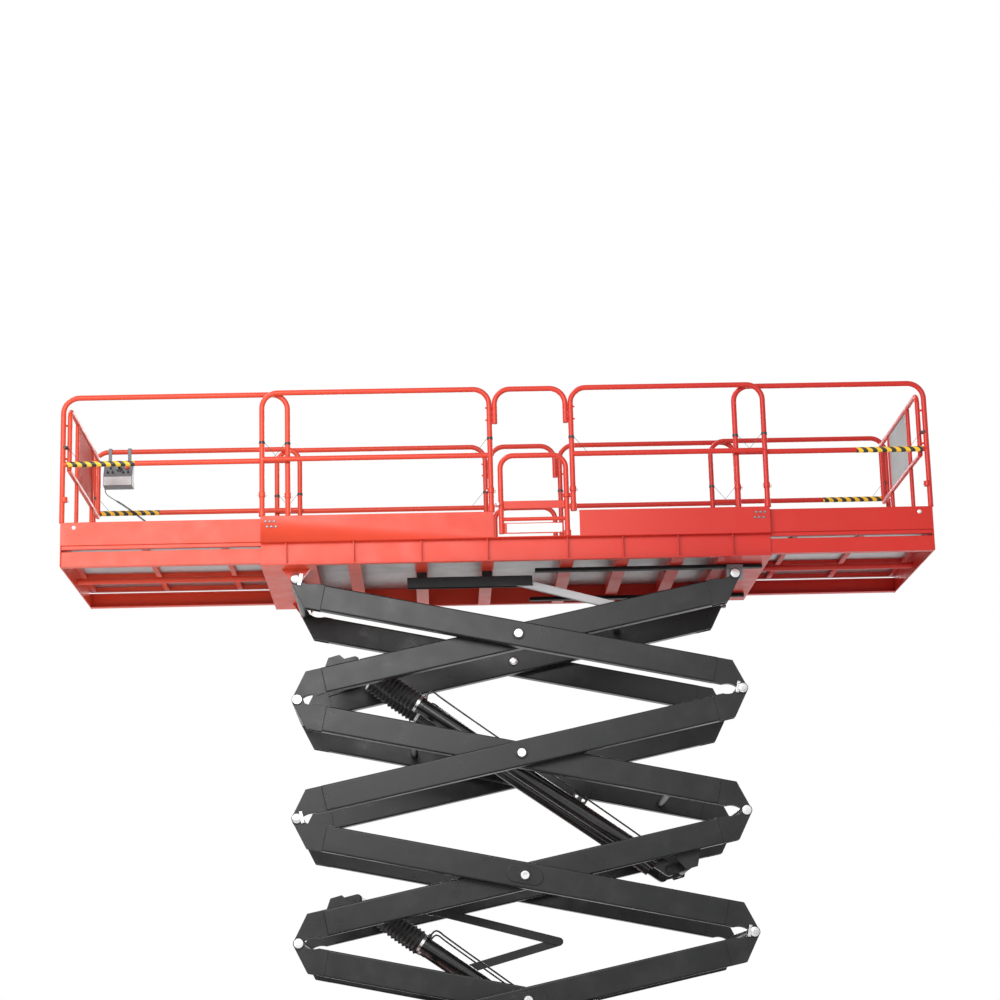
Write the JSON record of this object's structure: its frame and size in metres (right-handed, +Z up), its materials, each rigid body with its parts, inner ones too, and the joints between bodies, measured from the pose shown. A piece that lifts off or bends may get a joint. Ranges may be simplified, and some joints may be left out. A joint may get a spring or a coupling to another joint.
{
  "type": "scissor lift",
  "caption": "Rough-terrain scissor lift with a raised stack of crossed arms, a railed platform with two sliding extensions, outriggers and a steered wheeled base.",
  "frame": {"origin": "on the floor under the middle of the machine's outline", "axes": "+X is the rear of the machine, -Y is the side with the ladder seen first, +Z is up"},
  "size_m": [6.8524, 2.3, 6.9793],
  "materials": {
    "bellows_rubber": "matte",
    "box_plastic": "matte",
    "chassis_paint": "gloss",
    "cord_sheath": "matte",
    "cover_plastic": "gloss",
    "cylinder_paint": "gloss",
    "dark_paint": "satin",
    "floor_plate": "satin",
    "link_paint": "satin",
    "panel_grey": "satin",
    "panel_paint": "satin",
    "platform_paint": "gloss",
    "rim_paint": "satin",
    "rod_chrome": "polished",
    "slider_steel": "satin",
    "stack_paint": "satin",
    "steel": "satin",
    "top_link_paint": "satin",
    "tyre_rubber": "matte"
  },
  "bodies": {
    "base": {"chassis": "chassis_paint", "lashing_eyes": "chassis_paint", "axles": "dark_paint", "modules": "chassis_paint", "engine_block": "dark_paint"},
    "outer_frame_1": {"outer_arm_1": "stack_paint"},
    "inner_frame_1": {"inner_arm_1": "stack_paint"},
    "outer_frame_2": {"outer_arm_2": "stack_paint"},
    "inner_frame_2": {"inner_arm_2": "stack_paint"},
    "outer_frame_3": {"outer_arm_3": "stack_paint"},
    "inner_frame_3": {"inner_arm_3": "stack_paint"},
    "outer_frame_4": {"outer_arm_4": "stack_paint"},
    "inner_frame_4": {"inner_arm_4": "stack_paint"},
    "outer_frame_5": {"outer_arm_5": "stack_paint"},
    "inner_frame_5": {"inner_arm_5": "stack_paint"},
    "platform": {"platform_frame": "platform_paint", "platform_floor": "floor_plate", "platform_slides": "dark_paint", "platform_rails": "platform_paint"},
    "front_extension": {"front_deck": "platform_paint", "front_floor": "floor_plate", "front_rails": "platform_paint", "front_panel": "panel_paint", "control_box": "box_plastic", "control_cord": "cord_sheath", "control_coil": "cord_sheath"},
    "rear_extension": {"rear_deck": "platform_paint", "rear_floor": "floor_plate", "rear_rails": "platform_paint", "rear_panel": "panel_grey"},
    "gate_leaf_near": {"gate_near": "platform_paint"},
    "steering_knuckle_near": {"knuckle_near": "dark_paint"},
    "compartment_lid_near": {"lid_near": "cover_plastic"},
    "wheel_front_near": {"tyre_front_near": "tyre_rubber", "rim_front_near": "rim_paint"},
    "outrigger_leg_front_near": {"outrigger_front_near": "dark_paint"},
    "wheel_rear_near": {"tyre_rear_near": "tyre_rubber", "rim_rear_near": "rim_paint"},
    "outrigger_leg_rear_near": {"outrigger_rear_near": "dark_paint"},
    "gate_leaf_far": {"gate_far": "platform_paint"},
    "steering_knuckle_far": {"knuckle_far": "dark_paint"},
    "compartment_lid_far": {"lid_far": "cover_plastic"},
    "wheel_front_far": {"tyre_front_far": "tyre_rubber", "rim_front_far": "rim_paint"},
    "outrigger_leg_front_far": {"outrigger_front_far": "dark_paint"},
    "wheel_rear_far": {"tyre_rear_far": "tyre_rubber", "rim_rear_far": "rim_paint"},
    "outrigger_leg_rear_far": {"outrigger_rear_far": "dark_paint"},
    "steering_rod": {"tie_rod": "steel"},
    "top_sliders": {"top_shoes": "slider_steel"},
    "base_sliders": {"base_shoes": "slider_steel"},
    "lift_rods_lower": {"rods_lower": "rod_chrome", "boots_lower": "bellows_rubber"},
    "lift_barrels_lower": {"barrels_lower": "cylinder_paint"},
    "lift_rods_upper": {"rods_upper": "rod_chrome", "boots_upper": "bellows_rubber"},
    "lift_barrels_upper": {"barrels_upper": "cylinder_paint"},
    "link_upper": {"hose_link_upper": "link_paint"},
    "link_lower": {"hose_link_lower": "link_paint"},
    "link_top": {"hose_link_top": "top_link_paint"}
  },
  "joints": [
    {"name": "lift", "type": "hinge", "parent": "base", "child": "inner_frame_5", "pos_m": [-1.59445, 0, 0.82], "axis": [0, -1, 0], "range_deg": [-11.5, 41.4]},
    {"name": "cross_5", "type": "hinge", "parent": "inner_frame_5", "child": "outer_frame_5", "pos_m": [0.13375, 0, 1.2863], "axis": [0, -1, 0], "range_deg": [-83.4, 23.6]},
    {"name": "knee_left_4", "type": "hinge", "parent": "outer_frame_5", "child": "outer_frame_4", "pos_m": [-1.59445, 0, 1.75261], "axis": [0, -1, 0], "range_deg": [-23.6, 83.4]},
    {"name": "knee_right_3", "type": "hinge", "parent": "outer_frame_4", "child": "outer_frame_3", "pos_m": [1.86195, 0, 2.68521], "axis": [0, -1, 0], "range_deg": [-83.4, 23.6]},
    {"name": "knee_left_2", "type": "hinge", "parent": "outer_frame_3", "child": "outer_frame_2", "pos_m": [-1.59445, 0, 3.61782], "axis": [0, -1, 0], "range_deg": [-23.6, 83.4]},
    {"name": "knee_right_1", "type": "hinge", "parent": "outer_frame_2", "child": "outer_frame_1", "pos_m": [1.86195, 0, 4.55042], "axis": [0, -1, 0], "range_deg": [-83.4, 23.6]},
    {"name": "deck_pivot", "type": "hinge", "parent": "outer_frame_1", "child": "platform", "pos_m": [-1.59445, 0, 5.48303], "axis": [0, -1, 0], "range_deg": [-12.1, 42]},
    {"name": "cross_4", "type": "hinge", "parent": "outer_frame_4", "child": "inner_frame_4", "pos_m": [0.13375, 0, 2.21891], "axis": [0, -1, 0], "range_deg": [-83.4, 23.6]},
    {"name": "cross_3", "type": "hinge", "parent": "outer_frame_3", "child": "inner_frame_3", "pos_m": [0.13375, 0, 3.15151], "axis": [0, -1, 0], "range_deg": [-23.6, 83.4]},
    {"name": "cross_2", "type": "hinge", "parent": "outer_frame_2", "child": "inner_frame_2", "pos_m": [0.13375, 0, 4.08412], "axis": [0, -1, 0], "range_deg": [-83.4, 23.6]},
    {"name": "cross_1", "type": "hinge", "parent": "outer_frame_1", "child": "inner_frame_1", "pos_m": [0.13375, 0, 5.01673], "axis": [0, -1, 0], "range_deg": [-23.6, 83.4]},
    {"name": "base_slider_pivot", "type": "hinge", "parent": "outer_frame_5", "child": "base_sliders", "pos_m": [1.86195, 0, 0.82], "axis": [0, -1, 0], "range_deg": [-12.1, 42]},
    {"name": "top_slider_pivot", "type": "hinge", "parent": "inner_frame_1", "child": "top_sliders", "pos_m": [1.86195, 0, 5.48303], "axis": [0, -1, 0], "range_deg": [-42, 12.1]},
    {"name": "rod_pivot_lower", "type": "hinge", "parent": "inner_frame_3", "child": "lift_rods_lower", "pos_m": [-1.15428, 0, 3.03081], "axis": [0, -1, 0], "range_deg": [-78.43, 22.22]},
    {"name": "cylinder_lower", "type": "slide", "parent": "lift_rods_lower", "child": "lift_barrels_lower", "axis": [0.8201, 0, -0.5723], "range_m": [-0.4585, 1.6246]},
    {"name": "rod_pivot_upper", "type": "hinge", "parent": "inner_frame_1", "child": "lift_rods_upper", "pos_m": [-1.15428, 0, 4.89602], "axis": [0, -1, 0], "range_deg": [-78.43, 22.22]},
    {"name": "cylinder_upper", "type": "slide", "parent": "lift_rods_upper", "child": "lift_barrels_upper", "axis": [0.8201, 0, -0.5723], "range_m": [-0.4585, 1.6246]},
    {"name": "link_pivot_upper", "type": "hinge", "parent": "inner_frame_3", "child": "link_upper", "pos_m": [-0.59035, 0, 2.95614], "axis": [0, -1, 0], "range_deg": [-83.4, 23.6]},
    {"name": "link_pivot_lower", "type": "hinge", "parent": "inner_frame_4", "child": "link_lower", "pos_m": [-0.59035, 0, 2.41429], "axis": [0, -1, 0], "range_deg": [-23.6, 83.4]},
    {"name": "link_pivot_top", "type": "hinge", "parent": "inner_frame_1", "child": "link_top", "pos_m": [0.99785, 0, 5.24988], "axis": [0, -1, 0], "range_deg": [-83.4, 23.6]},
    {"name": "front_slide", "type": "slide", "parent": "platform", "child": "front_extension", "axis": [1, 0, 0], "range_m": [0, 1.5]},
    {"name": "rear_slide", "type": "slide", "parent": "platform", "child": "rear_extension", "axis": [-1, 0, 0], "range_m": [0, 1.23]},
    {"name": "gate_near_hinge", "type": "hinge", "parent": "platform", "child": "gate_leaf_near", "pos_m": [0.535, -0.894, 5.96503], "axis": [0, 0, -1], "range_deg": [0, 90]},
    {"name": "gate_far_hinge", "type": "hinge", "parent": "platform", "child": "gate_leaf_far", "pos_m": [0.535, 0.894, 5.96503], "axis": [0, 0, 1], "range_deg": [0, 90]},
    {"name": "steer", "type": "hinge", "parent": "base", "child": "steering_knuckle_near", "pos_m": [-1.29625, -0.88, 0.42], "axis": [0, 0, 1], "range_deg": [-28, 28]},
    {"name": "steer_far", "type": "hinge", "parent": "base", "child": "steering_knuckle_far", "pos_m": [-1.29625, 0.88, 0.42], "axis": [0, 0, 1], "range_deg": [-28.5, 28.5]},
    {"name": "steering_rod_slide", "type": "slide", "parent": "base", "child": "steering_rod", "axis": [0, 1, 0], "range_m": [-0.053, 0.053]},
    {"name": "wheel_spin_front_near", "type": "hinge", "parent": "steering_knuckle_near", "child": "wheel_front_near", "pos_m": [-1.29625, -0.995, 0.42], "axis": [0, 1, 0], "continuous": true},
    {"name": "wheel_spin_rear_near", "type": "hinge", "parent": "base", "child": "wheel_rear_near", "pos_m": [1.56375, -0.995, 0.42], "axis": [0, 1, 0], "continuous": true},
    {"name": "jack_front_near", "type": "slide", "parent": "base", "child": "outrigger_leg_front_near", "axis": [0, 0, -1], "range_m": [0, 0.24]},
    {"name": "jack_rear_near", "type": "slide", "parent": "base", "child": "outrigger_leg_rear_near", "axis": [0, 0, -1], "range_m": [0, 0.24]},
    {"name": "lid_hinge_near", "type": "hinge", "parent": "base", "child": "compartment_lid_near", "pos_m": [-0.43625, -0.804, 0.803], "axis": [-1, 0, 0], "range_deg": [0, 75]},
    {"name": "wheel_spin_front_far", "type": "hinge", "parent": "steering_knuckle_far", "child": "wheel_front_far", "pos_m": [-1.29625, 0.995, 0.42], "axis": [0, 1, 0], "continuous": true},
    {"name": "wheel_spin_rear_far", "type": "hinge", "parent": "base", "child": "wheel_rear_far", "pos_m": [1.56375, 0.995, 0.42], "axis": [0, 1, 0], "continuous": true},
    {"name": "jack_front_far", "type": "slide", "parent": "base", "child": "outrigger_leg_front_far", "axis": [0, 0, -1], "range_m": [0, 0.24]},
    {"name": "jack_rear_far", "type": "slide", "parent": "base", "child": "outrigger_leg_rear_far", "axis": [0, 0, -1], "range_m": [0, 0.24]},
    {"name": "lid_hinge_far", "type": "hinge", "parent": "base", "child": "compartment_lid_far", "pos_m": [-0.43625, 0.804, 0.803], "axis": [1, 0, 0], "range_deg": [0, 75]}
  ],
  "couplings": [
    {"joint": "cross_5", "follows": "lift", "ratio": -2},
    {"joint": "knee_left_4", "follows": "lift", "ratio": 2},
    {"joint": "knee_right_3", "follows": "lift", "ratio": -2},
    {"joint": "knee_left_2", "follows": "lift", "ratio": 2},
    {"joint": "knee_right_1", "follows": "lift", "ratio": -2},
    {"joint": "deck_pivot", "follows": "lift", "ratio": 1},
    {"joint": "cross_4", "follows": "lift", "ratio": -2},
    {"joint": "cross_3", "follows": "lift", "ratio": 2},
    {"joint": "cross_2", "follows": "lift", "ratio": -2},
    {"joint": "cross_1", "follows": "lift", "ratio": 2},
    {"joint": "base_slider_pivot", "follows": "lift", "ratio": 1},
    {"joint": "top_slider_pivot", "follows": "lift", "ratio": -1},
    {"joint": "rod_pivot_lower", "follows": "lift", "ratio": -1.88},
    {"joint": "cylinder_lower", "follows": "lift", "m_per_rad": 2.2345},
    {"joint": "rod_pivot_upper", "follows": "lift", "ratio": -1.88},
    {"joint": "cylinder_upper", "follows": "lift", "m_per_rad": 2.2345},
    {"joint": "link_pivot_upper", "follows": "lift", "ratio": -2},
    {"joint": "link_pivot_lower", "follows": "lift", "ratio": 2},
    {"joint": "link_pivot_top", "follows": "lift", "ratio": -2},
    {"joint": "steer_far", "follows": "steer", "ratio": 1},
    {"joint": "steering_rod_slide", "follows": "steer", "m_per_rad": 0.1057}
  ]
}
